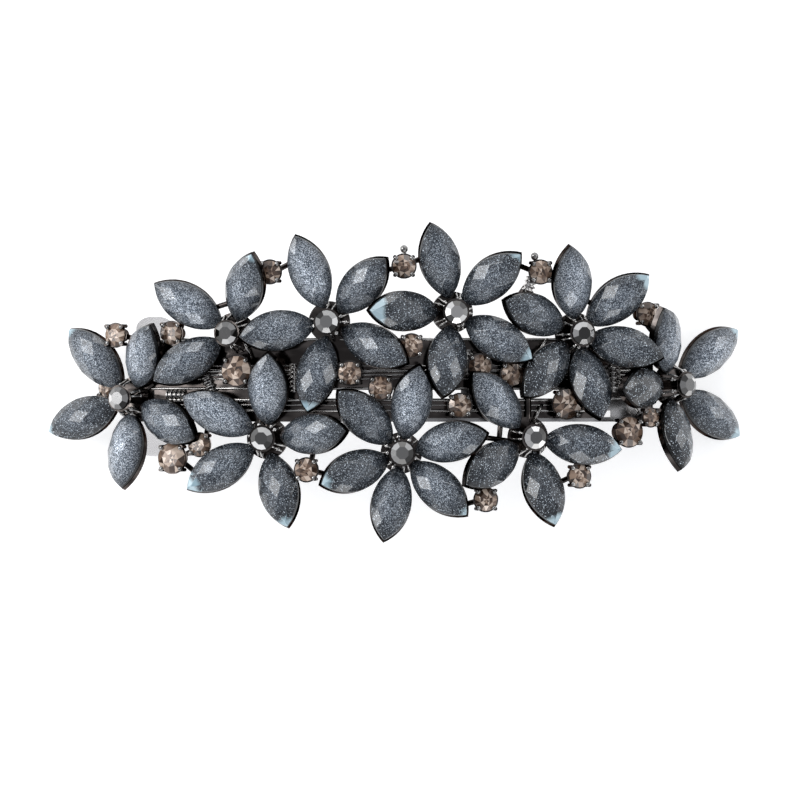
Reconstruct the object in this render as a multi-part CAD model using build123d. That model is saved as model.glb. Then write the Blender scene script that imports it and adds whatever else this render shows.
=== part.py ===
"""Hair clip: nine flowers of faceted stones in a cast setting, on a spring barrette.

Millimetres and degrees. +X runs along the clip towards its hinge, +Z is up from the hair towards
the stones, and the clip rests on the tabs of its latch, its hinge ears and the tip of its arm.
"""

from build123d import *
from math import asin, atan2, cos, degrees, radians, sin, sqrt
import os

os.makedirs("parts", exist_ok=True)

# The clip's length, which the arch, the bow and the long stones take their sizes from
clip_length = 78.0

# The arch that the clip plate and the whole setting follow
arch_radius = clip_length * 40 / 39
plate_top_height = 0.2244 * clip_length

# Clip plate, with its slots and hinge ears
clip_offset = -0.5
plate_width = 10.6
plate_thickness = 0.8
plate_spine_width = 1.1
plate_rim_width = 0.7
plate_bar_width = 1.8
slot_width = 1.3
slot_count = 3
slot_bridge = 2.5
slot_end_margin = 6.5
slot_spacing = (clip_length - 2 * slot_end_margin + slot_bridge) / slot_count
slot_length = slot_spacing - slot_bridge
ear_thickness = 0.8
ear_length = 4.4
ear_corner = 1.0

# How far a cutting tool stands past what it cuts
cut_margin = 1.0

# Hinge and arm
pin_radius = 0.7
pin_height = 2.6
pin_from_end = 2.4
pin_head_radius = 1.1
pin_head_thickness = 0.4
knuckle_radius = 1.6
hinge_clearance = 0.05
side_clearance = 0.15
arm_width = 7.2
arm_rail_width = 1.6
arm_thickness = 1.2
arm_rise = 5.2
arm_end_length = 5.0
arm_tip_height = 0.65

# Tension bow, which ends clear of the latch
bow_latch_gap = 0.4
bow_rise = 3.4
bow_thickness = 0.5
bow_end_length = 3.0
bow_end_drop = 0.275

# Latch
latch_length = 5.6
latch_thickness = 0.8
latch_leg_bottom = 1.2
tab_reach = 10.3
tab_root_height = 5.2
tab_corner = 2.2
bow_span = clip_length - 2 * (latch_length + bow_latch_gap)

# Petal stones
petal_length = clip_length / 6.5
petal_width = petal_length / 2
petal_height = petal_width * 11 / 30
petal_wall = petal_width / 12
petal_heel = petal_length / 5
facet_rows_along = 4
facet_rows_across = 3
along_pitch = 0.15 * petal_length
across_pitch = 0.1625 * petal_width

# Round stones
small_accent_radius = petal_length * 2 / 15
tiny_accent_radius = small_accent_radius * 25 / 32
large_accent_radius = small_accent_radius * 21 / 16
centre_radius = small_accent_radius * 17 / 16
accent_spin = 40.0
accent_prongs = 4
girdle_share = 0.12
break_share = 0.17
crown_share = 0.42
pavilion_share = 0.75
culet_share = 0.3
main_slope = 33.0
break_slope = 42.0
pavilion_slope = 38.0

# Casting
tray_thickness = 0.8
tray_rim = 0.05
strip_width = 7.7
strip_thickness = 0.8
strip_length = clip_length
strip_offset = 2.8
side_bar_width = 2.9
bar_low = -petal_length * 3.0
bar_high = petal_length * 2.5
web_high = -petal_length * 0.95
hub_radius = petal_heel + 0.7
hub_drop = 0.15
post_radius = 0.75
stem_radius = 0.6
stem_end_inset = 3.0
stem_side_inset = 1.0
centre_lift = 1.5
cup_wall = 0.3
cup_flare = 0.95
cup_height = 1.7
prong_radius = 0.28
prong_height = 0.75
wire_radius = 0.4
wire_drop = 0.25
seat_gap = 0.04

# Each flower: its hub as shares of the petal length from the middle of the arch, how far it leans to
# the right, and how far its petals rise from its own plane.
flowers = {
    "a": dict(x=-3.27, y=-0.19, lean=-30, rise=10),
    "b": dict(x=-1.98, y=0.62, lean=-18, rise=21),
    "c": dict(x=-0.80, y=0.76, lean=-6, rise=17),
    "d": dict(x=0.72, y=0.88, lean=9, rise=21),
    "e": dict(x=2.25, y=0.62, lean=18, rise=19),
    "f": dict(x=3.44, y=-0.02, lean=43, rise=14),
    "g": dict(x=-1.57, y=-0.69, lean=-12, rise=15),
    "h": dict(x=0.09, y=-0.87, lean=2, rise=21),
    "i": dict(x=1.66, y=-0.68, lean=16, rise=16),
}

# Each petal: its bearing as seen from above, counted from +X towards +Y, and what it rises more than
# its flower's other petals.
petals = {
    "a1": dict(bearing=128, more_rise=0),
    "a2": dict(bearing=62, more_rise=16),
    "a3": dict(bearing=204, more_rise=0),
    "a4": dict(bearing=273, more_rise=8),
    "a5": dict(bearing=331, more_rise=0),
    "b1": dict(bearing=145, more_rise=0),
    "b2": dict(bearing=69, more_rise=6),
    "b3": dict(bearing=214, more_rise=0),
    "c1": dict(bearing=110, more_rise=0),
    "c2": dict(bearing=46, more_rise=7),
    "c3": dict(bearing=190, more_rise=5),
    "c4": dict(bearing=258, more_rise=-1),
    "c5": dict(bearing=333, more_rise=0),
    "d1": dict(bearing=106, more_rise=-5),
    "d2": dict(bearing=43, more_rise=6),
    "d3": dict(bearing=179, more_rise=0),
    "d4": dict(bearing=260, more_rise=5),
    "d5": dict(bearing=328, more_rise=0),
    "e1": dict(bearing=100, more_rise=3),
    "e2": dict(bearing=42, more_rise=2),
    "e3": dict(bearing=158, more_rise=0),
    "e4": dict(bearing=342, more_rise=12),
    "e5": dict(bearing=280, more_rise=5),
    "e6": dict(bearing=226, more_rise=0),
    "f1": dict(bearing=112, more_rise=9),
    "f2": dict(bearing=46, more_rise=0),
    "f3": dict(bearing=185, more_rise=2),
    "f4": dict(bearing=317, more_rise=0),
    "f5": dict(bearing=261, more_rise=10),
    "g1": dict(bearing=152, more_rise=0),
    "g2": dict(bearing=84, more_rise=11),
    "g3": dict(bearing=5, more_rise=7),
    "g4": dict(bearing=214, more_rise=0),
    "g5": dict(bearing=286, more_rise=0),
    "h1": dict(bearing=136, more_rise=0),
    "h2": dict(bearing=79, more_rise=0),
    "h3": dict(bearing=13, more_rise=4),
    "h4": dict(bearing=201, more_rise=3),
    "h5": dict(bearing=258, more_rise=0),
    "h6": dict(bearing=316, more_rise=0),
    "i1": dict(bearing=134, more_rise=0),
    "i2": dict(bearing=213, more_rise=6),
    "i3": dict(bearing=282, more_rise=4),
    "i4": dict(bearing=352, more_rise=4),
}

# Each accent stone: its place as shares of the petal length, how far its cup stands above the level
# of the trays, and which size of stone it holds.
accents = {
    "s1": dict(x=-3.39, y=0.60, lift=0.6, size="small"),
    "s2": dict(x=-2.68, y=0.62, lift=1.2, size="small"),
    "s3": dict(x=-3.66, y=-0.06, lift=-2.7, size="tiny"),
    "s4": dict(x=-1.49, y=1.38, lift=1.2, size="small"),
    "s5": dict(x=0.12, y=1.45, lift=1.2, size="small"),
    "s6": dict(x=1.76, y=1.38, lift=1.2, size="small"),
    "s7": dict(x=3.06, y=0.86, lift=1.2, size="small"),
    "s8": dict(x=-1.89, y=0.15, lift=1.2, size="large"),
    "s9": dict(x=-0.53, y=0.12, lift=1.0, size="small"),
    "s10": dict(x=-0.16, y=-0.06, lift=1.0, size="small"),
    "s11": dict(x=0.21, y=0.46, lift=1.2, size="small"),
    "s12": dict(x=0.79, y=-0.28, lift=1.2, size="small"),
    "s13": dict(x=1.04, y=0.21, lift=0.4, size="small"),
    "s14": dict(x=1.44, y=0.11, lift=0.1, size="small"),
    "s15": dict(x=2.11, y=-0.26, lift=0.1, size="large"),
    "s16": dict(x=-2.69, y=-0.94, lift=0.6, size="large"),
    "s17": dict(x=-2.36, y=-0.77, lift=0.5, size="small"),
    "s18": dict(x=-1.05, y=-1.08, lift=1.2, size="small"),
    "s19": dict(x=1.10, y=-1.45, lift=1.2, size="small"),
    "s20": dict(x=2.23, y=-1.16, lift=1.2, size="small"),
    "s21": dict(x=2.83, y=-0.61, lift=1.2, size="large"),
    "s22": dict(x=3.10, y=-0.43, lift=1.2, size="tiny"),
}

# Thin bars of the casting: each runs from a cup or a petal's tray to a petal's tray, and the shares
# say how far out along the petal it meets the tray.
cup_links = [
    dict(cup="s1", petal="a1", share=0.65),
    dict(cup="s1", petal="a2", share=0.65),
    dict(cup="s2", petal="a2", share=0.50),
    dict(cup="s2", petal="b1", share=0.50),
    dict(cup="s3", petal="a3", share=0.05),
    dict(cup="s4", petal="b2", share=0.55),
    dict(cup="s4", petal="c1", share=0.70),
    dict(cup="s5", petal="c2", share=0.70),
    dict(cup="s5", petal="d1", share=0.60),
    dict(cup="s6", petal="d2", share=0.80),
    dict(cup="s6", petal="e3", share=0.80),
    dict(cup="s7", petal="e2", share=0.80),
    dict(cup="s7", petal="f1", share=0.45),
    dict(cup="s16", petal="g4", share=0.75),
    dict(cup="s17", petal="g1", share=0.60),
    dict(cup="s18", petal="g3", share=0.50),
    dict(cup="s18", petal="h4", share=0.70),
    dict(cup="s19", petal="h6", share=0.80),
    dict(cup="s19", petal="i2", share=0.80),
    dict(cup="s20", petal="i3", share=0.50),
    dict(cup="s20", petal="i4", share=0.50),
    dict(cup="s21", petal="i4", share=0.85),
    dict(cup="s22", petal="f5", share=0.40),
]
petal_links = [
    dict(first="b1", first_share=0.30, second="b2", second_share=0.30),
    dict(first="e1", first_share=0.30, second="e2", second_share=0.30),
    dict(first="i1", first_share=0.30, second="i2", second_share=0.30),
    dict(first="h3", first_share=0.80, second="i2", second_share=-0.10),
]
cup_pairs = [("s16", "s17"), ("s21", "s22")]


# Levels above the plate's top, measured square to the arch
strip_bottom_level = seat_gap
strip_top_level = strip_bottom_level + strip_thickness
tray_level = strip_top_level - tray_thickness / 4

arch_centre_height = plate_top_height - arch_radius
upward = (Align.CENTER, Align.CENTER, Align.MIN)
downward = (Align.CENTER, Align.CENTER, Align.MAX)


def height_on_arch(x, level):
    """Height of the point at x on the arch that lies a level above the plate's top."""
    return arch_centre_height + sqrt((arch_radius + level) ** 2 - x ** 2)


def arch_plane(x, y, level):
    """Plane on the arch, square to it, with its own X along the clip."""
    slope = asin(x / (arch_radius + level))
    normal = (sin(slope), 0, cos(slope))
    along = (cos(slope), 0, -sin(slope))
    return Plane(origin=(x, y, height_on_arch(x, level)), x_dir=along, z_dir=normal)


def arched_band(x_low, x_high, y_low, y_high, centre_x, centre_z, inner_radius, outer_radius):
    """Part of a ring about a line along Y, between two values of x and two of y."""
    width = y_high - y_low
    ring = Cylinder(outer_radius, width) - Cylinder(inner_radius, width + 2 * cut_margin)
    ring = Location((centre_x, (y_low + y_high) / 2, centre_z), (90, 0, 0)) * ring
    window = Pos((x_low + x_high) / 2, (y_low + y_high) / 2, centre_z + outer_radius)
    return ring & window * Box(x_high - x_low, width + 2 * cut_margin, 2 * outer_radius)


def band_on_plate(x_low, x_high, y_low, y_high, low_level, high_level):
    """Band that follows the arch between two levels."""
    return arched_band(
        x_low, x_high, y_low, y_high, 0, arch_centre_height,
        arch_radius + low_level, arch_radius + high_level,
    )


def navette(length, width, height):
    """Boat-shaped prism with its inner tip at the origin and its length along X."""
    side_bulge = width / 2
    upper = ThreePointArc((0, 0), (length / 2, side_bulge), (length, 0))
    lower = ThreePointArc((length, 0), (length / 2, -side_bulge), (0, 0))
    return extrude(make_face(Wire([upper, lower])), height)


def make_petal():
    """Petal stone: a boat-shaped prism cut by a lattice of facets that touch a low dome."""
    side_steps = (petal_width / 2) / across_pitch
    fall = (petal_height - petal_wall) / side_steps ** 2
    stone = navette(petal_length, petal_width, petal_height + cut_margin)
    for i in range(-facet_rows_along, facet_rows_along + 1):
        for j in range(-facet_rows_across, facet_rows_across + 1):
            if (i + j) % 2 or abs(i) + abs(j) > facet_rows_along:
                continue
            touch = (
                petal_length / 2 + i * along_pitch,
                j * across_pitch,
                petal_height - fall * (i * i + j * j),
            )
            normal = (2 * fall * i / along_pitch, 2 * fall * j / across_pitch, 1)
            stone = split(stone, Plane(origin=touch, z_dir=normal), keep=Keep.BOTTOM)
    return stone


def make_round_stone(radius):
    """Round cut stone with its girdle at z = 0: table, eight main facets, eight breaks, eight below."""
    girdle = girdle_share * radius
    depth = pavilion_share * radius
    outline = RegularPolygon(radius, 16)
    stone = Pos(0, 0, -depth) * extrude(outline, depth + crown_share * radius)
    for k in range(8):
        for slope, turn, level in (
            (main_slope, 0, girdle),
            (break_slope, 22.5, break_share * radius),
        ):
            angle = radians(45 * k + turn)
            touch = (radius * cos(angle), radius * sin(angle), level)
            lean = radians(slope)
            normal = (sin(lean) * cos(angle), sin(lean) * sin(angle), cos(lean))
            stone = split(stone, Plane(origin=touch, z_dir=normal), keep=Keep.BOTTOM)
        angle = radians(45 * k)
        touch = (radius * cos(angle), radius * sin(angle), -girdle)
        lean = radians(pavilion_slope)
        normal = (sin(lean) * cos(angle), sin(lean) * sin(angle), -cos(lean))
        stone = split(stone, Plane(origin=touch, z_dir=normal), keep=Keep.BOTTOM)
    return stone


def make_cup(radius, foot_radius, lift, prong_count):
    """Cone-shaped cup, with or without prongs, for a stone whose girdle is at the rim; foot at z = 0.

    A cup with a negative lift hangs below that level and has a short foot of its own.
    """
    foot_low = min(lift, 0)
    foot = Cylinder(foot_radius, lift + tray_thickness - foot_low, align=upward)
    cone = Cone(foot_radius, radius + cup_wall, cup_height, align=upward)
    cup = Pos(0, 0, foot_low) * foot + Pos(0, 0, lift) * cone
    rim_level = lift + cup_height
    seat_depth = girdle_share * radius + seat_gap
    seat = Cylinder(radius + seat_gap, seat_depth, align=downward)
    taper_depth = (pavilion_share - girdle_share) * radius + seat_gap
    taper = Cone(culet_share * radius, radius + seat_gap, taper_depth, align=downward)
    cup -= Pos(0, 0, rim_level) * seat
    cup -= Pos(0, 0, rim_level - seat_depth) * taper
    prong = Cylinder(prong_radius, 2 * prong_height)
    for k in range(prong_count):
        angle = radians(360 * (k + 0.5) / prong_count)
        reach = radius + seat_gap + prong_radius
        cup += Pos(reach * cos(angle), reach * sin(angle), rim_level) * prong
    return cup


def flower_plane(name):
    """Plane of a flower's trays at its hub, leaning to the right by its own angle."""
    row = flowers[name]
    x = row["x"] * petal_length
    y = row["y"] * petal_length
    lean = radians(row["lean"])
    origin = (x, y, height_on_arch(x, tray_level))
    return Plane(origin=origin, x_dir=(cos(lean), 0, -sin(lean)), z_dir=(sin(lean), 0, cos(lean)))


def petal_location(name):
    """Place of a petal's tray: its inner tip lies on the hub, at the petal heel from the middle."""
    row = petals[name]
    flower = flowers[name[0]]
    seen = radians(row["bearing"])
    lean = radians(flower["lean"])
    bearing = degrees(atan2(sin(seen) * cos(lean), cos(seen)))
    rise = flower["rise"] + row["more_rise"]
    return flower_plane(name[0]).location * Rot(0, 0, bearing) * Pos(petal_heel, 0, 0) * Rot(0, -rise, 0)


def accent_plane(name):
    """Plane of an accent's cup foot."""
    row = accents[name]
    return arch_plane(row["x"] * petal_length, row["y"] * petal_length, tray_level)


def wire(start, end, radius):
    """Round bar between two points."""
    start = Vector(start)
    run = Vector(end) - start
    bar = Cylinder(radius, run.length, align=upward)
    return Plane(origin=start, z_dir=run).location * bar


petal_stone = make_petal()
centre_stone = make_round_stone(centre_radius)
accent_radii = {"tiny": tiny_accent_radius, "small": small_accent_radius, "large": large_accent_radius}
accent_cuts = {size: make_round_stone(radius) for size, radius in accent_radii.items()}
tray = navette(petal_length + 2 * tray_rim, petal_width + 2 * tray_rim, tray_thickness)
tray = Pos(-tray_rim, 0, 0) * tray

for name in petals:
    stone = petal_location(name) * Pos(0, 0, tray_thickness + seat_gap) * petal_stone
    export_step(stone, f"parts/petal_{name}.step")

centre_rim = tray_thickness + centre_lift + cup_height
centre_stones = []
for name in flowers:
    centre_stones.append(flower_plane(name).location * Pos(0, 0, centre_rim + seat_gap) * centre_stone)
export_step(Compound(children=centre_stones), "parts/centre_stones.step")

accent_stones = []
for count, (name, row) in enumerate(accents.items()):
    stone = Rot(0, 0, accent_spin * count) * accent_cuts[row["size"]]
    rim = row["lift"] + cup_height
    accent_stones.append(accent_plane(name).location * Pos(0, 0, rim + seat_gap) * stone)
export_step(Compound(children=accent_stones), "parts/accent_stones.step")


def tray_point(name, share):
    """Point under the middle line of a petal's tray, some way out along its length."""
    return (petal_location(name) * Pos(share * petal_length, 0, -wire_drop)).position


def cup_point(name):
    """Point in the middle of a cup's foot."""
    foot_low = min(accents[name]["lift"], 0)
    return (accent_plane(name).location * Pos(0, 0, foot_low + wire_radius / 2)).position


def make_hub(name):
    """Disc that the trays of one flower grow from, with the post and cup of its centre stone."""
    disc_height = tray_thickness - hub_drop
    disc = Cylinder(hub_radius, disc_height, align=upward)
    cup = make_cup(centre_radius, post_radius, tray_thickness + centre_lift, 0)
    return [flower_plane(name).location * disc, flower_plane(name).location * cup]


def make_stem(name):
    """Bar from a hub to the nearest place on the backing strip."""
    hub = (flower_plane(name).location * Pos(0, 0, hub_drop)).position
    reach = strip_length / 2 - stem_end_inset
    x = max(-reach, min(reach, hub.X))
    y = max(strip_low + stem_side_inset, min(strip_high - stem_side_inset, hub.Y))
    end = (x, y, height_on_arch(x, strip_bottom_level + stem_radius + seat_gap))
    return wire(hub, end, stem_radius)


strip_low = strip_offset - strip_width / 2
strip_high = strip_offset + strip_width / 2
side_bar_high = clip_offset - plate_spine_width / 2 - slot_width
strip = band_on_plate(
    -strip_length / 2, strip_length / 2, strip_low, strip_high, strip_bottom_level, strip_top_level
)
side_bar = band_on_plate(
    bar_low, bar_high, side_bar_high - side_bar_width, side_bar_high, strip_bottom_level, strip_top_level
)
web = band_on_plate(
    bar_low, web_high, clip_offset - plate_width / 2, strip_low, strip_bottom_level, strip_top_level
)
casting = [side_bar, web]
for name in petals:
    casting.append(petal_location(name) * tray)
for name in flowers:
    casting.extend(make_hub(name))
    casting.append(make_stem(name))
for name, row in accents.items():
    radius = accent_radii[row["size"]]
    cup = make_cup(radius, radius + cup_wall - cup_flare, row["lift"], accent_prongs)
    casting.append(accent_plane(name).location * cup)
for link in cup_links:
    casting.append(wire(cup_point(link["cup"]), tray_point(link["petal"], link["share"]), wire_radius))
for link in petal_links:
    start = tray_point(link["first"], link["first_share"])
    casting.append(wire(start, tray_point(link["second"], link["second_share"]), wire_radius))
for first, second in cup_pairs:
    casting.append(wire(cup_point(first), cup_point(second), wire_radius))
setting = strip + casting
export_step(setting, "parts/setting.step")

# Clip plate with its slots and the two hinge ears
plate_low = clip_offset - plate_width / 2
plate_high = clip_offset + plate_width / 2
clip_plate = band_on_plate(-clip_length / 2, clip_length / 2, plate_low, plate_high, -plate_thickness, 0)
inner_slot = plate_spine_width / 2
outer_slot = inner_slot + slot_width + plate_bar_width
slot_rows = [
    (inner_slot, inner_slot + slot_width),
    (outer_slot, plate_width / 2 - plate_rim_width),
]
slot_height = 2 * plate_top_height
for k in range(slot_count):
    x = (k - (slot_count - 1) / 2) * slot_spacing
    for near, far in slot_rows:
        for side in (-1, 1):
            y = clip_offset + side * (near + far) / 2
            clip_plate -= Pos(x, y, plate_top_height) * Box(slot_length, far - near, slot_height)

pin_x = clip_length / 2 - pin_from_end
ear_middle = arm_width / 2 + side_clearance + ear_thickness / 2
ear = Box(ear_length, ear_thickness, plate_top_height, align=upward)
ear = fillet(ear.faces().sort_by(Axis.Z)[0].edges().filter_by(Axis.Y), ear_corner)
arch_limit = Location((0, 0, arch_centre_height), (90, 0, 0)) * Cylinder(
    arch_radius - plate_thickness / 2, 4 * plate_width
)
for side in (-1, 1):
    clip_plate += Pos(pin_x, clip_offset + side * ear_middle, 0) * ear & arch_limit
hinge_line = Location((pin_x, clip_offset, pin_height), (90, 0, 0))
hinge_bore = hinge_line * Cylinder(pin_radius + hinge_clearance, 2 * plate_width)
clip_plate -= hinge_bore
export_step(clip_plate, "parts/clip_plate.step")

# Hinge pin with a head outside each ear
ear_outside = ear_middle + ear_thickness / 2 + hinge_clearance
hinge_pin = Cylinder(pin_radius, 2 * ear_outside)
for side in (-1, 1):
    hinge_pin += Pos(0, 0, side * (ear_outside + pin_head_thickness / 2)) * Cylinder(
        pin_head_radius, pin_head_thickness
    )
export_step(hinge_line * hinge_pin, "parts/hinge_pin.step")

# Arm: two rails on one arc, joined at both ends, with a bored knuckle
arm_tip_x = -clip_length / 2 + latch_thickness
chord = Vector(pin_x - arm_tip_x, 0, pin_height - arm_tip_height)
arm_radius = ((chord.length / 2) ** 2 + arm_rise ** 2) / (2 * arm_rise)
chord_up = Vector(-chord.Z, 0, chord.X).normalized()
chord_middle = Vector((pin_x + arm_tip_x) / 2, 0, (pin_height + arm_tip_height) / 2)
arm_centre = chord_middle - chord_up * (arm_radius - arm_rise)


def arm_band(x_low, x_high, y_low, y_high):
    """Piece of the arm's arc between two values of x and two distances from the clip's middle line."""
    return arched_band(
        x_low, x_high, clip_offset + y_low, clip_offset + y_high, arm_centre.X, arm_centre.Z,
        arm_radius - arm_thickness / 2, arm_radius + arm_thickness / 2,
    )


arm_half = arm_width / 2
arm = arm_band(arm_tip_x, arm_tip_x + arm_end_length, -arm_half, arm_half)
arm += arm_band(pin_x - arm_end_length, pin_x, -arm_half, arm_half)
for side in (-1, 1):
    near, far = sorted((side * (arm_half - arm_rail_width), side * arm_half))
    arm += arm_band(arm_tip_x, pin_x, near, far)
arm += hinge_line * Cylinder(knuckle_radius, arm_width)
arm -= hinge_bore
export_step(arm, "parts/arm.step")

# Tension bow: a split strip whose ends lie under the plate
bow_end_height = height_on_arch(bow_span / 2, -plate_thickness) - seat_gap - bow_end_drop
bow_radius = ((bow_span / 2) ** 2 + bow_rise ** 2) / (2 * bow_rise)
bow_centre_height = bow_end_height + bow_rise - bow_radius


def bow_band(x_low, x_high, y_low, y_high):
    """Piece of the bow's arc between two values of x and two distances from the clip's middle line."""
    return arched_band(
        x_low, x_high, clip_offset + y_low, clip_offset + y_high, 0, bow_centre_height,
        bow_radius - bow_thickness / 2, bow_radius + bow_thickness / 2,
    )


tension_bow = bow_band(-bow_span / 2, -bow_span / 2 + bow_end_length, -arm_half, arm_half)
tension_bow += bow_band(bow_span / 2 - bow_end_length, bow_span / 2, -arm_half, arm_half)
for side in (-1, 1):
    near, far = sorted((side * (arm_half - arm_rail_width), side * arm_half))
    tension_bow += bow_band(-bow_span / 2, bow_span / 2, near, far)
export_step(tension_bow, "parts/tension_bow.step")

# Latch: a base under the plate, two legs beside the arm's tip and two finger tabs that reach the floor
latch_low = -clip_length / 2
latch_high = latch_low + latch_length
leg_inside = arm_half + side_clearance
leg_outside = leg_inside + latch_thickness
latch_top_level = -plate_thickness - seat_gap
latch = band_on_plate(
    latch_low, latch_high, clip_offset - leg_outside, clip_offset + leg_outside,
    latch_top_level - latch_thickness, latch_top_level,
)
leg_limit = Location((0, 0, arch_centre_height), (90, 0, 0)) * Cylinder(
    arch_radius + latch_top_level - latch_thickness / 2, 4 * plate_width
)
latch_middle = (latch_low + latch_high) / 2
leg_middle = leg_inside + latch_thickness / 2
tab_run = tab_reach - leg_middle
tab_slope = atan2(tab_root_height - latch_thickness / 2, tab_run)
tab_length = tab_run / cos(tab_slope)
tab = Box(latch_length, tab_length, latch_thickness, align=(Align.CENTER, Align.MIN, Align.CENTER))
tab = fillet(tab.faces().sort_by(Axis.Y)[-1].edges().filter_by(Axis.Z), tab_corner)
tab_root = latch_thickness / 2 * cos(tab_slope) + tab_length * sin(tab_slope)
tab = Location((0, leg_middle, tab_root), (-degrees(tab_slope), 0, 0)) * tab
leg = Box(latch_length, latch_thickness, plate_top_height, align=upward)
leg = Pos(0, leg_middle, latch_leg_bottom) * leg
for side in (1, -1):
    turn = Pos(latch_middle, clip_offset, 0) * Rot(0, 0, 0 if side == 1 else 180)
    latch += turn * leg & leg_limit
    latch += turn * tab
export_step(latch, "parts/latch.step")
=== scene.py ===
"""Looks of the hair clip: glitter stones, cut round stones and a polished dark casting.

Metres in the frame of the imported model: +X along the clip to its hinge, +Z up to the stones.
"""

import bpy
import bmesh
import math
import random
from mathutils import Matrix, Vector


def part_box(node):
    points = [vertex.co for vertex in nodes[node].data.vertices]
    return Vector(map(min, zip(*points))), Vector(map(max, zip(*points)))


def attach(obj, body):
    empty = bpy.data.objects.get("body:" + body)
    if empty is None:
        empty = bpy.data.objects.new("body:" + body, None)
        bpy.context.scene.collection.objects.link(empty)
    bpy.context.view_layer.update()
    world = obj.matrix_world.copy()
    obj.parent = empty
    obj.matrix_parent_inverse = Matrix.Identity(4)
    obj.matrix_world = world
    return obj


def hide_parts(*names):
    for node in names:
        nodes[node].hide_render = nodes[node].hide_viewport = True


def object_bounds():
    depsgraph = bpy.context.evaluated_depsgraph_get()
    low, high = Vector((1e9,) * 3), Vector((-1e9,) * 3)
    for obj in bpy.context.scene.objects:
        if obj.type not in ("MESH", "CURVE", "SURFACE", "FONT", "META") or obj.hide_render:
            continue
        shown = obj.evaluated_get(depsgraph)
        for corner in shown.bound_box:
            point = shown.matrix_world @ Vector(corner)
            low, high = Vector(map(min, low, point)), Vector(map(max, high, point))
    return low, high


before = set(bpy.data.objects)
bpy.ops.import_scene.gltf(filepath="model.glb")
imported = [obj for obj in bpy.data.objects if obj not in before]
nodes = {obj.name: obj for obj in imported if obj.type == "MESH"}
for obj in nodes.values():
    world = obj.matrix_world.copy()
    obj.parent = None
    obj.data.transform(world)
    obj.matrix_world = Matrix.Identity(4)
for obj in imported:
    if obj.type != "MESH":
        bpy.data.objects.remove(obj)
cad_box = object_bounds()

MM = 0.001

# The photograph: 800 pixels a side, 0.15 mm each, with the clip's middle at pixel 394, 383
PICTURE_SIDE = 800
PIXEL = 0.15 * MM
MIDDLE_PIXEL_X = 394
MIDDLE_PIXEL_Y = 383
CAMERA_DISTANCE = 1.2
CAMERA_REACH = 10
SENSOR_WIDTH = 36.0

# Room: pale at the sides and dimmer overhead; the heights are those of a direction's Z
ROOM_SIDE = (0.72, 0.74, 0.77)
ROOM_TOP = (0.30, 0.31, 0.33)
ROOM_SIDE_HEIGHT = 0.50
ROOM_TOP_HEIGHT = 0.86
BOX_DISTANCE = 0.8
BOX_AIM = (0, 0, 0.01)
EXPOSURE = 0.38
FLOOR_HALF = 1.5
FLOOR_PAINT = (0.9, 0.9, 0.9)
FLOOR_ROUGHNESS = 0.9
FLOOR_SHINE = 0.1
FLOOR_GLOW = 0.40
# Each softbox: its bearing from +X towards +Y and its elevation in degrees, its width and height in
# metres, and its radiance
SOFTBOXES = {
    "key_box": (160, 36, 0.50, 0.44, 3.8),
    "right_box": (20, 26, 0.5, 0.14, 2.2),
    "front_box": (-80, 22, 0.6, 0.12, 2.2),
    "back_box": (80, 24, 0.5, 0.12, 2.4),
}

# Meshes: points this near are one, and faces this flat to each other are one facet
JOIN_DISTANCE = 0.0001 * MM
FLAT_ANGLE = math.radians(1.0)
SHARP_ANGLE = math.radians(4.0)
EDGE_SOFTNESS = 0.05 * MM

# Glitter of the petal stones, in steps from the dark ground to the brightest flakes
SPECKLE_SIZE = 0.095 * MM
GLITTER_STOPS = [
    (0.0, (0.006, 0.008, 0.012)),
    (0.30, (0.025, 0.032, 0.043)),
    (0.60, (0.090, 0.109, 0.136)),
    (0.84, (0.235, 0.268, 0.312)),
    (0.97, (0.56, 0.605, 0.665)),
]
# Painted light: each stone's painted lightness also shifts its flakes this far
PAINTED_FLAKE_SHIFT = 0.10
# Painted glints: flakes above this pick are painted pale, fewer on stones with more painted light
PAINTED_GLINT_FROM = 0.955
PAINTED_GLINT_FADE = 0.45
PAINTED_GLINT_COLOUR = (0.72, 0.80, 0.88)
CLOUD_DEPTH = 0.4
STONE_CLOUD_SCALE = 380.0
# Painted light and shade: the glitter is painted lighter in a stone's middle and darker towards its
# rim, never below the least light
PAINTED_MIDDLE_LIGHT = 1.18
PAINTED_RIM_SHADE = 1.06
LEAST_PAINTED_LIGHT = 0.05
# The sides of a stone are painted darker, as painted shade, and have no gloss: faces that look up
# less than the slope
WALL_PAINTED_SHADE = 0.12
WALL_SLOPE = 0.35
FACET_LIGHTS = (0.86, 1.14)
# Clear tips: the ramp from glitter to clear, how unevenly it starts, and the two tints of its facets
TIP_BLEND = 0.05
TIP_SHIFT = 0.03
NO_TIP = 2.0
TIP_CONTRAST = 2.5
TIP_OFFSET = -2.0
TIP_DARK = (0.17, 0.28, 0.34)
TIP_PALE = (0.60, 0.73, 0.78)
# Round cut stones: the spread of painted light among their facets, as painted reflections on the dark
# centre stones and painted glints and shade on the champagne ones
ACCENT_CONTRAST = 1.7
CENTRE_CONTRAST = 2.6
CENTRE_PAINTED_DARK = (0.022, 0.021, 0.020)
CENTRE_PAINTED_PALE = (0.95, 0.93, 0.91)
# Champagne stones: their tint, painted from dark to pale facet by facet as painted glints and shade
CHAMPAGNE_TINT_AND_PAINTED_LIGHT = [
    (0.0, (0.035, 0.020, 0.013)),
    (0.20, (0.13, 0.080, 0.055)),
    (0.55, (0.31, 0.215, 0.156)),
    (1.0, (0.74, 0.61, 0.51)),
]
# Painted reflection on each centre stone's table: how light it is painted, from the latch end to the
# hinge end
PAINTED_TABLE_REFLECTIONS = [0.62, 0.18, 0.12, 0.32, 0.24, 0.60, 0.16, 0.02, 0.18]
# The accent stones are drawn wider than their solids, out to their prongs
ACCENT_GROWTH = 1.06
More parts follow.
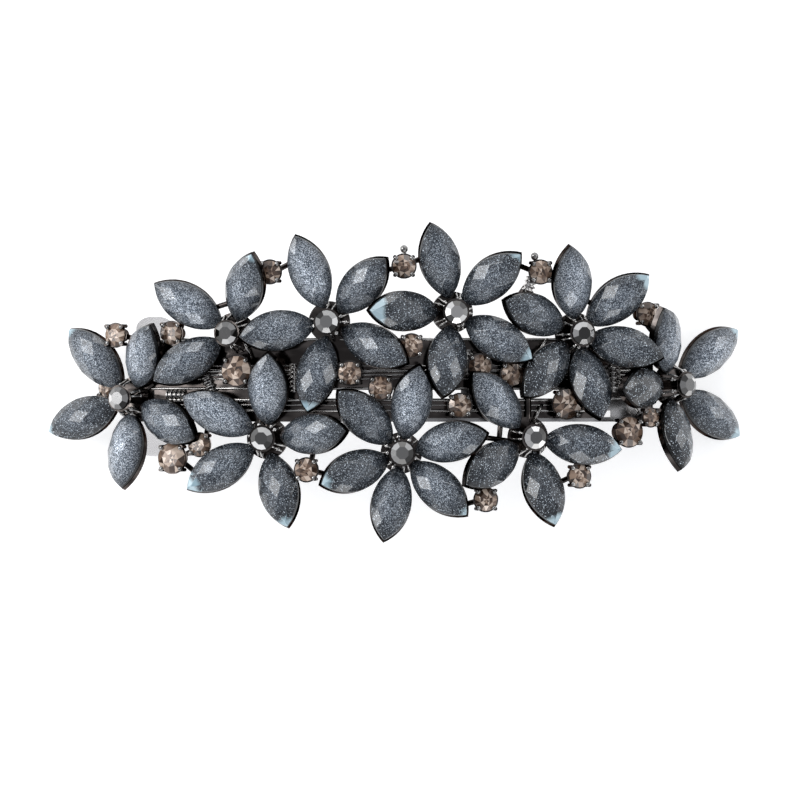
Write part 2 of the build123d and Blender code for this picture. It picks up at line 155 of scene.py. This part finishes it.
# Points of one accent stone lie within this many radii of its table's middle
ACCENT_REACH = 1.5

# Metals: noise for painted reflection streaks in the colour, which also varies the roughness, and for
# the shallow waves, both drawn out along the clip
WAVE_STRETCH = (0.35, 1.0, 1.0)
METAL_STREAK_SCALE = 420.0
METAL_WAVE_SCALE = 500.0
METAL_WAVE_DEPTH = 0.3 * MM
# Where the noise turns from the dark to the pale metal colour, as painted reflection streaks
PAINTED_STREAK_LOW = 0.42
PAINTED_STREAK_HIGH = 0.68

# Beads on the prongs of the accent stones
PRONGS = 4
FIRST_PRONG = 45
BEAD_RADIUS = 0.36 * MM
BEAD_GAP = 0.10 * MM
BEAD_DROP = 0.10
BEAD_SQUASH = 0.8

# Casting details, by the photograph's pixels and levels above the clip plate's arch
ARCH_RADIUS = 80 * MM
STRIP_LEVEL = 0.84 * MM
STRIP_STEPS = 48
RIDGE_PITCH = 0.68 * MM
RIDGE_DEPTH = 0.22
RIDGE_STEPS = 4
TUBE_SIDES = 8
RIDGED_SIDES = 12
# Each ridged bar: its two ends in pixels, its radius and its level
RIDGED_BARS = [
    (189, 402, 189, 434, 0.85 * MM, 0.9 * MM),
    (207, 377, 213, 392, 0.80 * MM, 0.9 * MM),
    (295, 364, 295, 392, 0.75 * MM, 0.9 * MM),
    (467, 350, 467, 374, 0.95 * MM, 0.9 * MM),
    (168, 395, 186, 395, 0.80 * MM, 0.7 * MM),
    (614, 352, 614, 392, 1.10 * MM, 0.9 * MM),
    (531, 278, 523, 304, 0.85 * MM, 2.6 * MM),
]
# Each raised line of the strip: its pixel row, its radius, and its two ends in pixels
STRIP_LINES = [
    (339.5, 0.22 * MM, 136, 652),
    (366, 0.14 * MM, 150, 640),
    (371, 0.30 * MM, 150, 640),
    (375, 0.20 * MM, 150, 640),
    (379, 0.14 * MM, 150, 640),
    (388.5, 0.20 * MM, 136, 652),
    (400, 0.24 * MM, 160, 590),
    (405, 0.14 * MM, 160, 590),
    (410.5, 0.22 * MM, 160, 590),
]
LINK_RADIUS = 0.22 * MM
# Each bright link: its points as pixel and level
BRIGHT_LINKS = [
    [(606, 399, 1.2 * MM), (618, 398, 1.4 * MM), (630, 397, 1.2 * MM)],
    [(630, 397, 1.2 * MM), (634, 404, 1.4 * MM), (639, 413, 1.2 * MM)],
    [(533, 357, 1.6 * MM), (540, 349, 2.0 * MM), (547, 339, 1.6 * MM)],
    [(542, 404, 1.3 * MM), (538, 412, 1.6 * MM), (533, 422, 1.3 * MM)],
    [(243, 338, 1.5 * MM), (247, 348, 1.8 * MM), (252, 358, 1.5 * MM)],
    [(592, 349, 1.4 * MM), (599, 355, 1.8 * MM), (607, 361, 1.4 * MM)],
]
BALL_PRONGS = [(404, 250), (534, 257)]
BALL_RADIUS = 0.62 * MM
# Shares of the accent stone's radius that the ball and the foot of its stalk lie below the table
BALL_DROP = 0.5
FOOT_DROP = 1.1
STALK_RADIUS = 0.6 * BALL_RADIUS
# Claws of each hub: their points as reach from the centre stone's axis and drop below its table
CLAW_POINTS = [
    (1.75 * MM, 1.2 * MM),
    (2.15 * MM, 1.9 * MM),
    (2.45 * MM, 3.0 * MM),
    (2.85 * MM, 4.15 * MM),
]
CLAW_RADII = [0.12 * MM, 0.15 * MM, 0.18 * MM, 0.26 * MM]
# Degrees that a claw may lie off the middle of its gap, at most, and its share at least
CLAW_SPREAD = 15.0
CLAW_SHARES = (0.3, 1.0)
NUB_SIZE = (0.20 * MM, 0.38 * MM)
# Petals whose inner end is this near a centre stone belong to its flower
HUB_NEAR = 5.5 * MM

PETAL_NAMES = sorted(name for name in nodes if name.startswith("petal_"))
# Painted light and shade: how light each stone's glitter is painted, where it isn't 1
PAINTED_STONE_LIGHT = {
    "petal_a1": 1.15, "petal_a2": 1.80, "petal_a3": 0.40, "petal_a4": 2.00, "petal_a5": 0.90,
    "petal_b1": 1.75, "petal_b2": 1.10, "petal_b3": 0.80, "petal_c1": 2.20, "petal_c2": 0.70,
    "petal_c4": 0.60, "petal_c5": 0.60, "petal_d1": 0.75, "petal_d2": 0.60, "petal_d3": 0.20,
    "petal_d4": 0.35, "petal_d5": 0.75, "petal_e1": 1.70, "petal_e2": 0.85, "petal_e3": 0.45,
    "petal_e4": 0.45, "petal_e5": 0.40, "petal_e6": 0.20, "petal_f1": 1.40, "petal_f2": 1.70,
    "petal_f3": 0.05, "petal_f4": 0.75, "petal_f5": 0.15, "petal_g1": 1.75, "petal_g2": 1.85,
    "petal_g3": 0.80, "petal_g4": 0.70, "petal_g5": 0.35, "petal_h1": 0.55, "petal_h2": 1.85,
    "petal_h4": 0.35, "petal_h5": 0.75, "petal_h6": 0.75, "petal_i1": 1.35, "petal_i2": 0.22,
    "petal_i3": 0.18, "petal_i4": 0.50,
}
# Stones whose outer tip is clear, and how far out along the stone that begins
CLEAR_TIPS = {
    "petal_a1": 0.90,
    "petal_a3": 0.91,
    "petal_b2": 0.92,
    "petal_c4": 0.90,
    "petal_d2": 0.93,
    "petal_d3": 0.82,
    "petal_d5": 0.90,
    "petal_e2": 0.88,
    "petal_f2": 0.90,
    "petal_f4": 0.86,
    "petal_g4": 0.85,
    "petal_g5": 0.88,
    "petal_h4": 0.88,
    "petal_h6": 0.92,
    "petal_i3": 0.88,
    "petal_i4": 0.86,
}


def add_light(name, place, aim, width, height, power):
    """Rectangular softbox at a place, turned to a point."""
    lamp = bpy.data.lights.new(name, "AREA")
    lamp.shape = "RECTANGLE"
    lamp.size = width
    lamp.size_y = height
    lamp.energy = power
    holder = bpy.data.objects.new(name, lamp)
    bpy.context.scene.collection.objects.link(holder)
    holder.location = place
    holder.rotation_euler = (Vector(aim) - Vector(place)).to_track_quat("-Z", "Y").to_euler()


def make_camera():
    """Camera that looks straight down, framed as the photograph is."""
    lens = bpy.data.cameras.new("camera")
    lens.sensor_width = SENSOR_WIDTH
    lens.lens = SENSOR_WIDTH * CAMERA_DISTANCE / (PICTURE_SIDE * PIXEL)
    lens.clip_end = CAMERA_REACH
    holder = bpy.data.objects.new("camera", lens)
    bpy.context.scene.collection.objects.link(holder)
    centre_x = (PICTURE_SIDE / 2 - MIDDLE_PIXEL_X) * PIXEL
    centre_y = (MIDDLE_PIXEL_Y - PICTURE_SIDE / 2) * PIXEL
    middle_height = (cad_box[0].z + cad_box[1].z) / 2
    holder.location = (centre_x, centre_y, middle_height + CAMERA_DISTANCE)
    bpy.context.scene.camera = holder


def make_floor():
    """Plain pale floor that the clip rests on."""
    material = bpy.data.materials.new("floor")
    material.use_nodes = True
    shader = material.node_tree.nodes["Principled BSDF"]
    shader.inputs["Base Color"].default_value = (*FLOOR_PAINT, 1)
    shader.inputs["Roughness"].default_value = FLOOR_ROUGHNESS
    shader.inputs["Specular IOR Level"].default_value = FLOOR_SHINE
    shader.inputs["Emission Color"].default_value = (1, 1, 1, 1)
    shader.inputs["Emission Strength"].default_value = FLOOR_GLOW
    mesh = bpy.data.meshes.new("floor")
    level = cad_box[0].z
    corners = [
        (-FLOOR_HALF, -FLOOR_HALF, level),
        (FLOOR_HALF, -FLOOR_HALF, level),
        (FLOOR_HALF, FLOOR_HALF, level),
        (-FLOOR_HALF, FLOOR_HALF, level),
    ]
    mesh.from_pydata(corners, [], [(0, 1, 2, 3)])
    floor = bpy.data.objects.new("floor", mesh)
    bpy.context.scene.collection.objects.link(floor)
    mesh.materials.append(material)


def make_room():
    """A pale room that is dimmer overhead, where the camera hangs."""
    world = bpy.data.worlds.new("room")
    world.use_nodes = True
    tree = world.node_tree
    direction = tree.nodes.new("ShaderNodeTexCoord")
    height = tree.nodes.new("ShaderNodeSeparateXYZ")
    tree.links.new(direction.outputs["Generated"], height.inputs["Vector"])
    ramp = tree.nodes.new("ShaderNodeValToRGB")
    tree.links.new(height.outputs["Z"], ramp.inputs["Fac"])
    elements = ramp.color_ramp.elements
    elements[0].position = ROOM_SIDE_HEIGHT
    elements[0].color = (*ROOM_SIDE, 1)
    elements[1].position = ROOM_TOP_HEIGHT
    elements[1].color = (*ROOM_TOP, 1)
    background = tree.nodes["Background"]
    tree.links.new(ramp.outputs["Color"], background.inputs["Color"])
    background.inputs["Strength"].default_value = 1.0
    bpy.context.scene.world = world


def make_lights():
    """A soft room and a few softboxes that the facets can catch."""
    make_room()
    for name, (azimuth, elevation, width, height, radiance) in SOFTBOXES.items():
        flat = math.cos(math.radians(elevation)) * BOX_DISTANCE
        place = (
            flat * math.cos(math.radians(azimuth)),
            flat * math.sin(math.radians(azimuth)),
            math.sin(math.radians(elevation)) * BOX_DISTANCE,
        )
        power = radiance * math.pi * width * height
        add_light(name, place, BOX_AIM, width, height, power)
    view = bpy.context.scene.view_settings
    view.view_transform = "Standard"
    view.look = "None"
    view.exposure = EXPOSURE


class Painter:
    """Short way to add nodes to one material."""

    def __init__(self, name):
        self.material = bpy.data.materials.new(name)
        self.material.use_nodes = True
        self.tree = self.material.node_tree
        self.shader = self.tree.nodes["Principled BSDF"]

    def add(self, kind, inputs=None, **settings):
        """A node with its settings and, by name or number, its inputs' values or links."""
        node = self.tree.nodes.new(kind)
        for key, value in settings.items():
            setattr(node, key, value)
        for key, value in (inputs or {}).items():
            self.give(node.inputs[key], value)
        return node

    def give(self, socket, value):
        """Sets an input, or links it if the value is another node's output."""
        if isinstance(value, bpy.types.NodeSocket):
            self.tree.links.new(value, socket)
        else:
            socket.default_value = value

    def finish(self, inputs):
        """Gives the shader its inputs and returns the material."""
        for key, value in inputs.items():
            self.give(self.shader.inputs[key], value)
        return self.material

    def math(self, operation, first, second=0.0, clamp=False):
        """Output of one sum."""
        node = self.add("ShaderNodeMath", operation=operation, use_clamp=clamp)
        self.give(node.inputs[0], first)
        self.give(node.inputs[1], second)
        return node.outputs[0]

    def ramp(self, factor, stops):
        """Colour ramp with stops of (place, colour)."""
        node = self.add("ShaderNodeValToRGB", {"Fac": factor})
        elements = node.color_ramp.elements
        while len(elements) < len(stops):
            elements.new(0.5)
        for element, (place, colour) in zip(elements, stops):
            element.position = place
            element.color = (*colour, 1)
        return node.outputs["Color"]

    def mix(self, factor, first, second):
        """Colour mix."""
        node = self.add("ShaderNodeMix", data_type="RGBA", blend_type="MIX")
        self.give(node.inputs["Factor"], factor)
        self.give(node.inputs["A"], first)
        self.give(node.inputs["B"], second)
        return node.outputs["Result"]

    def scaled(self, value, factor, offset):
        """Output of value times factor plus offset."""
        inputs = {0: value, 1: factor, 2: offset}
        return self.add("ShaderNodeMath", inputs, operation="MULTIPLY_ADD").outputs[0]

    def attribute(self, name):
        """Value of a mesh attribute."""
        return self.add("ShaderNodeAttribute", attribute_name=name).outputs["Fac"]


def glitter_material():
    """Clear gloss over fine blue-grey glitter, which thins out at clear tips; its colour has painted
    light and shade: lighter in the middle, darker at the rim and on the sides, lighter or darker
    stone by stone, with painted glints.
    """
    paint = Painter("glitter_stone_look")
    place = paint.add("ShaderNodeTexCoord").outputs["Object"]
    flakes = paint.add("ShaderNodeTexVoronoi", {"Vector": place, "Scale": 1 / SPECKLE_SIZE})
    pick = paint.add("ShaderNodeSeparateColor", {"Color": flakes.outputs["Color"]})
    # Painted light and shade, stone by stone
    painted_stone_light = paint.attribute("painted_stone_light")
    facet_tone_and_painted_light = paint.attribute("facet_tone_and_painted_light")
    painted_flake_shift = paint.scaled(painted_stone_light, PAINTED_FLAKE_SHIFT, -PAINTED_FLAKE_SHIFT)
    flake_tone_and_painted_light = paint.math("ADD", pick.outputs[0], painted_flake_shift)
    flake_colour = paint.ramp(flake_tone_and_painted_light, GLITTER_STOPS)
    clouds = paint.add(
        "ShaderNodeTexNoise", {"Vector": place, "Scale": STONE_CLOUD_SCALE, "Detail": 2.0},
    )
    cloud_light = paint.scaled(clouds.outputs["Fac"], CLOUD_DEPTH, 1 - CLOUD_DEPTH / 2)
    along = paint.attribute("along")
    across = paint.attribute("across")
    from_middle = paint.scaled(along, 2.0, -1.0)
    reach = paint.math(
        "ADD",
        paint.math("POWER", paint.math("ABSOLUTE", from_middle), 2.0),
        paint.math("POWER", paint.math("ABSOLUTE", across), 2.0),
    )
    # Painted shade: darker towards the rim, lighter in the middle
    painted_rim_shade = paint.scaled(reach, -PAINTED_RIM_SHADE, PAINTED_MIDDLE_LIGHT)
    body_tone_and_painted_light = paint.math(
        "MULTIPLY",
        paint.math("MULTIPLY", cloud_light, painted_rim_shade),
        paint.math("MULTIPLY", paint.math("SQRT", painted_stone_light), facet_tone_and_painted_light),
    )
    # Painted shade on the sides of the stone, which also lose their coat
    gloss_and_painted_shade = paint.scaled(paint.attribute("wall"), WALL_PAINTED_SHADE - 1, 1.0)
    body = paint.add("ShaderNodeVectorMath", {0: flake_colour}, operation="SCALE")
    paint.give(body.inputs["Scale"], paint.math("MAXIMUM", body_tone_and_painted_light, LEAST_PAINTED_LIGHT))
    past_start = paint.math("SUBTRACT", along, paint.attribute("clear_from"))
    clear = paint.math("MULTIPLY", past_start, 1 / TIP_BLEND, clamp=True)
    tip_light = paint.scaled(facet_tone_and_painted_light, TIP_CONTRAST, TIP_OFFSET)
    tip = paint.mix(tip_light, (*TIP_DARK, 1), (*TIP_PALE, 1))
    # Painted glints: pale specks on some flakes, fewer on stones with more painted light
    painted_glints = paint.math(
        "MULTIPLY", paint.math("GREATER_THAN", pick.outputs[1], PAINTED_GLINT_FROM),
        paint.math("MAXIMUM", paint.scaled(painted_stone_light, -PAINTED_GLINT_FADE, 1.0), 0.0),
    )
    body_with_painted_glints = paint.mix(painted_glints, body.outputs[0], (*PAINTED_GLINT_COLOUR, 1))
    colour = paint.mix(clear, body_with_painted_glints, tip)
    shaded = paint.add("ShaderNodeVectorMath", {0: colour}, operation="SCALE")
    paint.give(shaded.inputs["Scale"], gloss_and_painted_shade)
    return paint.finish({
        "Base Color": shaded.outputs[0],
        "Metallic": 0.2,
        "Roughness": 0.40,
        "IOR": 1.45,
        "Specular IOR Level": 0.3,
        "Coat Weight": gloss_and_painted_shade,
        "Coat Roughness": 0.02,
        "Coat IOR": 1.50,
    })


def mirror_stone_material():
    """Dark cut stone with a metallic coat that mirrors the room, its facets painted with reflections
    from near black to near white.
    """
    paint = Painter("dark_stone_look")
    # Painted reflections: each facet is painted between near black and near white
    light = paint.attribute("facet_tone_and_painted_light")
    colour = paint.mix(light, (*CENTRE_PAINTED_DARK, 1), (*CENTRE_PAINTED_PALE, 1))
    return paint.finish({
        "Base Color": colour,
        "Metallic": 0.95,
        "Roughness": 0.05,
        "Coat Weight": 0.6,
        "Coat Roughness": 0.02,
    })


def champagne_material():
    """Champagne cut stone, whose lower facets are painted on its table, with painted glints and shade
    facet by facet over its tint.
    """
    paint = Painter("champagne_stone_look")
    # Painted glints and shade, facet by facet, over the champagne tint
    return paint.finish({
        "Base Color": paint.ramp(paint.attribute("facet_tone_and_painted_light"), CHAMPAGNE_TINT_AND_PAINTED_LIGHT),
        "Metallic": 0.1,
        "Roughness": 0.20,
        "Coat Weight": 0.5,
        "Coat Roughness": 0.02,
    })


def metal_material(name, dark, pale, roughness, grain, waves, edge=(1, 1, 1)):
    """Plated metal with painted reflection streaks in its colour, roughness that varies with them,
    and shallow waves along it; edge is its tint at a slant.
    """
    paint = Painter(name)
    place = paint.add("ShaderNodeTexCoord").outputs["Object"]
    mapping = paint.add("ShaderNodeMapping", {"Vector": place, "Scale": WAVE_STRETCH})
    drawn = mapping.outputs["Vector"]
    # Noise that paints reflection streaks into the colour and varies the roughness
    clouds = paint.add(
        "ShaderNodeTexNoise", {"Vector": drawn, "Scale": METAL_STREAK_SCALE, "Detail": 3.0},
    )
    # Painted reflections: pale streaks drawn out along the clip, mixed into the metal's colour
    painted_reflection_streaks = paint.ramp(clouds.outputs["Fac"], [(PAINTED_STREAK_LOW, (0, 0, 0)), (PAINTED_STREAK_HIGH, (1, 1, 1))])
    colour = paint.mix(painted_reflection_streaks, (*dark, 1), (*pale, 1))
    rough = paint.scaled(clouds.outputs["Fac"], grain, roughness)
    wave_noise = paint.add(
        "ShaderNodeTexNoise", {"Vector": drawn, "Scale": METAL_WAVE_SCALE, "Detail": 1.0},
    )
    bump = paint.add("ShaderNodeBump", {
        "Height": wave_noise.outputs["Fac"],
        "Strength": waves,
        "Distance": METAL_WAVE_DEPTH,
    })
    return paint.finish({
        "Base Color": colour,
        "Metallic": 1.0,
        "Specular Tint": (*edge, 1),
        "Roughness": rough,
        "Normal": bump.outputs["Normal"],
    })


def clean_bmesh(node):
    """The node's mesh with its flat facets whole and its doubled points joined."""
    shape = bmesh.new()
    shape.from_mesh(nodes[node].data)
    bmesh.ops.remove_doubles(shape, verts=shape.verts, dist=JOIN_DISTANCE)
    bmesh.ops.dissolve_limit(shape, angle_limit=FLAT_ANGLE, verts=shape.verts, edges=shape.edges)
    return shape


def to_object(shape, name, material, smooth=False):
    """A finished piece from a bmesh, on the fixed body."""
    mesh = bpy.data.meshes.new(name)
    shape.to_mesh(mesh)
    shape.free()
    piece = bpy.data.objects.new(name, mesh)
    bpy.context.scene.collection.objects.link(piece)
    mesh.materials.append(material)
    for face in mesh.polygons:
        face.use_smooth = smooth
    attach(piece, "root")
    return piece


def islands(shape):
    """Loose solids of a bmesh, each as a list of its points."""
    left = set(shape.verts)
    found = []
    while left:
        stack = [left.pop()]
        group = []
        while stack:
            point = stack.pop()
            group.append(point)
            for edge in point.link_edges:
                other = edge.other_vert(point)
                if other in left:
                    left.remove(other)
                    stack.append(other)
        found.append(group)
    found.sort(key=lambda group: (round(min(v.co.x for v in group), 6), min(v.co.y for v in group)))
    return found


def table_of(group):
    """The flat top of a cut stone: its widest face that looks up."""
    faces = {face for point in group for face in point.link_faces}
    return max(faces, key=lambda face: face.calc_area() * max(face.normal.z, 0))


def round_stone_frames(node):
    """For each round stone of a node: the middle of its table, its axis and its radius."""
    shape = clean_bmesh(node)
    frames = []
    for group in islands(shape):
        table = table_of(group)
        middle = table.calc_center_median()
        axis = table.normal.copy()
        offsets = [point.co - middle for point in group]
        radius = max((offset - axis * offset.dot(axis)).length for offset in offsets)
        frames.append((middle, axis, radius))
    shape.free()
    return frames


centres = round_stone_frames("centre_stones")
accents = round_stone_frames("accent_stones")
petal_lines = {}


def add_attribute(mesh, name, domain, values):
    """Gives each face or each point of a mesh its value."""
    attribute = mesh.attributes.new(name, "FLOAT", domain)
    for cell, value in zip(attribute.data, values):
        cell.value = value


def make_petal(node, material):
    """A petal stone with soft edges, whose points know their place along and across it."""
    shape = clean_bmesh(node)
    points = [v.co.copy() for v in shape.verts]
    pairs = ((first, second) for first in points for second in points)
    pair = max(pairs, key=lambda ends: (ends[0] - ends[1]).length)
    middle = (pair[0] + pair[1]) / 2
    hubs = [row[0] for row in centres]
    hub = min(hubs, key=lambda place: min((place - end).length for end in pair))
    inner, outer = sorted(pair, key=lambda end: (end - hub).length)
    petal_lines[node] = (inner, outer)
    along = outer - inner
    length = along.length
    along.normalize()
    lowest = max(shape.faces, key=lambda face: face.calc_area() * max(-face.normal.z, 0))
    up = -lowest.normal.copy()
    side = up.cross(along).normalized()
    chance = random.Random(node)
    bmesh.ops.bevel(
        shape,
        geom=[edge for edge in shape.edges if edge.calc_face_angle(0) > SHARP_ANGLE],
        offset=EDGE_SOFTNESS,
        segments=1,
        profile=0.5,
        affect="EDGES",
    )
    piece = to_object(shape, node + "_stone", material)
    mesh = piece.data
    facet_lights = []
    tip_starts = []
    for face in mesh.polygons:
        facet_lights.append(chance.uniform(*FACET_LIGHTS))
        tip_starts.append(CLEAR_TIPS.get(node, NO_TIP) + chance.uniform(-TIP_SHIFT, TIP_SHIFT))
    # Random tone of each petal facet; on the round stones this attribute carries painted light
    add_attribute(mesh, "facet_tone_and_painted_light", "FACE", facet_lights)
    add_attribute(mesh, "clear_from", "FACE", tip_starts)
    # Painted light and shade: each stone's own lightness number
    add_attribute(mesh, "painted_stone_light", "FACE", [PAINTED_STONE_LIGHT.get(node, 1.0) for face in mesh.polygons])
    # Wall faces, whose colour gets painted shade
    walls = [float(face.normal.dot(up) < WALL_SLOPE) for face in mesh.polygons]
    add_attribute(mesh, "wall", "FACE", walls)
    # A petal stone is half as wide as it is long, so a quarter of its length is its rim's reach
    half_width = length / 4
    reaches = [(point.co - inner).dot(along) / length for point in mesh.vertices]
    sides = [(point.co - middle).dot(side) / half_width for point in mesh.vertices]
    add_attribute(mesh, "along", "POINT", reaches)
    add_attribute(mesh, "across", "POINT", sides)
    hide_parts(node)


def make_round_stones(node, material, shows_pavilion):
    """Cut round stones whose facets differ in painted light, with the lower facets drawn on each
    table as painted facets.
    """
    shape = clean_bmesh(node)
    chance = random.Random(node)
    tables = [table_of(group) for group in islands(shape)]
    if shows_pavilion:
        poked = bmesh.ops.poke(shape, faces=tables)
        inner_edges = [e for v in poked["verts"] for e in v.link_edges]
        bmesh.ops.subdivide_edges(shape, edges=inner_edges, cuts=1)
        bmesh.ops.triangulate(shape, faces=[f for f in shape.faces if len(f.verts) > 3])
    contrast = ACCENT_CONTRAST if shows_pavilion else CENTRE_CONTRAST
    # Painted light of each facet, at random: painted reflections on the centre stones, painted glints
    # and shade on the champagne ones
    values = [chance.random() ** contrast for face in shape.faces]
    if not shows_pavilion:
        shape.faces.index_update()
        # Painted reflections on the centre stones' tables
        for face, light in zip(tables, PAINTED_TABLE_REFLECTIONS):
            values[face.index] = light
    else:
        for middle, axis, radius in accents:
            near = [v for v in shape.verts if (v.co - middle).length < ACCENT_REACH * radius]
            for point in near:
                offset = point.co - middle
                flat = offset - axis * offset.dot(axis)
                point.co += flat * (ACCENT_GROWTH - 1)
    piece = to_object(shape, node + "_cut", material)
    add_attribute(piece.data, "facet_tone_and_painted_light", "FACE", values)
    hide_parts(node)


def add_ball(shape, place, radius, squash=1.0, axis=Vector((0, 0, 1))):
    """A small ball, flattened along an axis."""
    turn = axis.to_track_quat("Z", "Y").to_matrix().to_4x4()
    matrix = Matrix.Translation(place) @ turn @ Matrix.Diagonal((radius, radius, radius * squash, 1))
    bmesh.ops.create_icosphere(shape, subdivisions=2, radius=1.0, matrix=matrix)


def make_prong_beads(material):
    """Rounded tips of the prongs that hold the round stones."""
    shape = bmesh.new()
    for middle, axis, radius in accents:
        along = Vector((axis.z, 0, -axis.x)).normalized()
        across = axis.cross(along)
        for k in range(PRONGS):
            angle = math.radians(360 / PRONGS * k + FIRST_PRONG)
            reach = radius + BEAD_GAP
            place = middle + along * (reach * math.cos(angle)) + across * (reach * math.sin(angle))
            add_ball(shape, place - axis * (BEAD_DROP * radius), BEAD_RADIUS, BEAD_SQUASH, axis)
    to_object(shape, "prong_beads", material, smooth=True)


def on_arch(pixel_x, pixel_y, level):
    """Point at a level above the clip plate's arch, under one pixel of the photograph."""
    x = (pixel_x - MIDDLE_PIXEL_X) * PIXEL
    y = (MIDDLE_PIXEL_Y - pixel_y) * PIXEL
    centre_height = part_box("clip_plate")[1].z - ARCH_RADIUS
    return Vector((x, y, centre_height + math.sqrt((ARCH_RADIUS + level) ** 2 - x ** 2)))


def add_tube(shape, path, radii, sides=TUBE_SIDES):
    """Round tube through a list of points, with a radius for each."""
    rings = []
    for k, point in enumerate(path):
        before = path[max(k - 1, 0)]
        after = path[min(k + 1, len(path) - 1)]
        turn = (after - before).to_track_quat("Z", "Y")
        ring = []
        for side in range(sides):
            angle = 2 * math.pi * side / sides
            spoke = turn @ Vector((math.cos(angle), math.sin(angle), 0))
            ring.append(shape.verts.new(point + spoke * radii[k]))
        rings.append(ring)
    for low, high in zip(rings, rings[1:]):
        for side in range(sides):
            after = (side + 1) % sides
            shape.faces.new((low[side], low[after], high[after], high[side]))
    shape.faces.new(list(reversed(rings[0])))
    shape.faces.new(rings[-1])


def make_ridged_bars(material):
    """Ridged cross bars of the casting that show between the stones."""
    shape = bmesh.new()
    for start_x, start_y, end_x, end_y, radius, level in RIDGED_BARS:
        start = on_arch(start_x, start_y, level)
        end = on_arch(end_x, end_y, level)
        count = int((end - start).length / RIDGE_PITCH) * RIDGE_STEPS
        path = [start.lerp(end, k / count) for k in range(count + 1)]
        turns = [2 * math.pi * k / RIDGE_STEPS for k in range(count + 1)]
        radii = [radius * (1 + RIDGE_DEPTH * math.cos(turn)) for turn in turns]
        add_tube(shape, path, radii, RIDGED_SIDES)
    to_object(shape, "ridged_bars", material, smooth=True)


def make_strip_lines(material):
    """Fine raised lines along the backing strip, and its rolled edges."""
    shape = bmesh.new()
    for pixel_y, radius, low_x, high_x in STRIP_LINES:
        columns = [low_x + (high_x - low_x) * k / STRIP_STEPS for k in range(STRIP_STEPS + 1)]
        path = [on_arch(pixel_x, pixel_y, STRIP_LEVEL) for pixel_x in columns]
        add_tube(shape, path, [radius] * len(path))
    to_object(shape, "strip_lines", material, smooth=True)


def make_bright_links(material):
    """Thin bright bars near the hinge and between the flowers."""
    shape = bmesh.new()
    for points in BRIGHT_LINKS:
        path = [on_arch(x, y, level) for x, y, level in points]
        add_tube(shape, path, [LINK_RADIUS] * len(path))
    to_object(shape, "bright_links", material, smooth=True)


def make_ball_prongs(material):
    """The large ball-ended prongs beside two of the accent stones, on short stalks."""
    shape = bmesh.new()
    for pixel_x, pixel_y in BALL_PRONGS:
        seen = on_arch(pixel_x, pixel_y, 0).xy
        middle, axis, radius = min(accents, key=lambda row: (row[0].xy - seen).length)
        place = Vector((seen.x, seen.y, middle.z - BALL_DROP * radius))
        add_ball(shape, place, BALL_RADIUS)
        foot = middle - axis * (FOOT_DROP * radius)
        stalk = [foot, foot.lerp(place, 0.5), place]
        add_tube(shape, stalk, [STALK_RADIUS] * len(stalk))
    to_object(shape, "ball_prongs", material, smooth=True)


def make_hub_claws(material):
    """Thin claws from each hub up to its centre stone's cup, two in each gap between petals."""
    shape = bmesh.new()
    chance = random.Random("claws")
    for middle, axis, radius in centres:
        along = Vector((axis.z, 0, -axis.x)).normalized()
        across = axis.cross(along)
        bearings = []
        for inner, outer in petal_lines.values():
            if (inner - middle).length < HUB_NEAR:
                run = outer - inner
                bearings.append(math.degrees(math.atan2(run.dot(across), run.dot(along))) % 360)
        bearings.sort()
        for low, high in zip(bearings, bearings[1:] + [bearings[0] + 360]):
            for side in (-1, 1):
                off_middle = side * chance.uniform(*CLAW_SHARES) * CLAW_SPREAD
                angle = math.radians((low + high) / 2 + off_middle)
                spoke = along * math.cos(angle) + across * math.sin(angle)
                path = [middle + spoke * reach - axis * drop for reach, drop in CLAW_POINTS]
                add_tube(shape, path, CLAW_RADII)
                add_ball(shape, path[chance.choice((1, 2))], chance.uniform(*NUB_SIZE))
    to_object(shape, "hub_claws", material, smooth=True)


def dress_node(name, material):
    """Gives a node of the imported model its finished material."""
    data = nodes[name].data
    for k in range(len(data.materials)):
        data.materials[k] = material


make_camera()
make_floor()
make_lights()
glitter = glitter_material()
dark_stone = mirror_stone_material()
champagne = champagne_material()
gunmetal = metal_material(
    "gunmetal_look",
    dark=(0.040, 0.035, 0.033),
    pale=(0.14, 0.123, 0.115),
    roughness=0.07,
    grain=0.10,
    waves=0.50,
    edge=(0.22, 0.21, 0.21),
)
bright = metal_material(
    "bright_look",
    dark=(0.34, 0.33, 0.32),
    pale=(0.84, 0.82, 0.80),
    roughness=0.16,
    grain=0.10,
    waves=0.0,
)
polished = metal_material(
    "polished_look",
    dark=(0.20, 0.195, 0.19),
    pale=(0.46, 0.45, 0.44),
    roughness=0.05,
    grain=0.10,
    waves=0.15,
)
nickel = metal_material(
    "nickel_look",
    dark=(0.41, 0.40, 0.40),
    pale=(0.47, 0.46, 0.46),
    roughness=0.24,
    grain=0.05,
    waves=0.02,
)
for petal in PETAL_NAMES:
    make_petal(petal, glitter)
make_round_stones("centre_stones", dark_stone, shows_pavilion=False)
make_round_stones("accent_stones", champagne, shows_pavilion=True)
make_prong_beads(polished)
make_ridged_bars(bright)
make_strip_lines(bright)
make_bright_links(bright)
make_ball_prongs(polished)
make_hub_claws(bright)
dress_node("setting", gunmetal)
for clip_piece in ("clip_plate", "tension_bow", "latch", "hinge_pin", "arm"):
    dress_node(clip_piece, nickel)
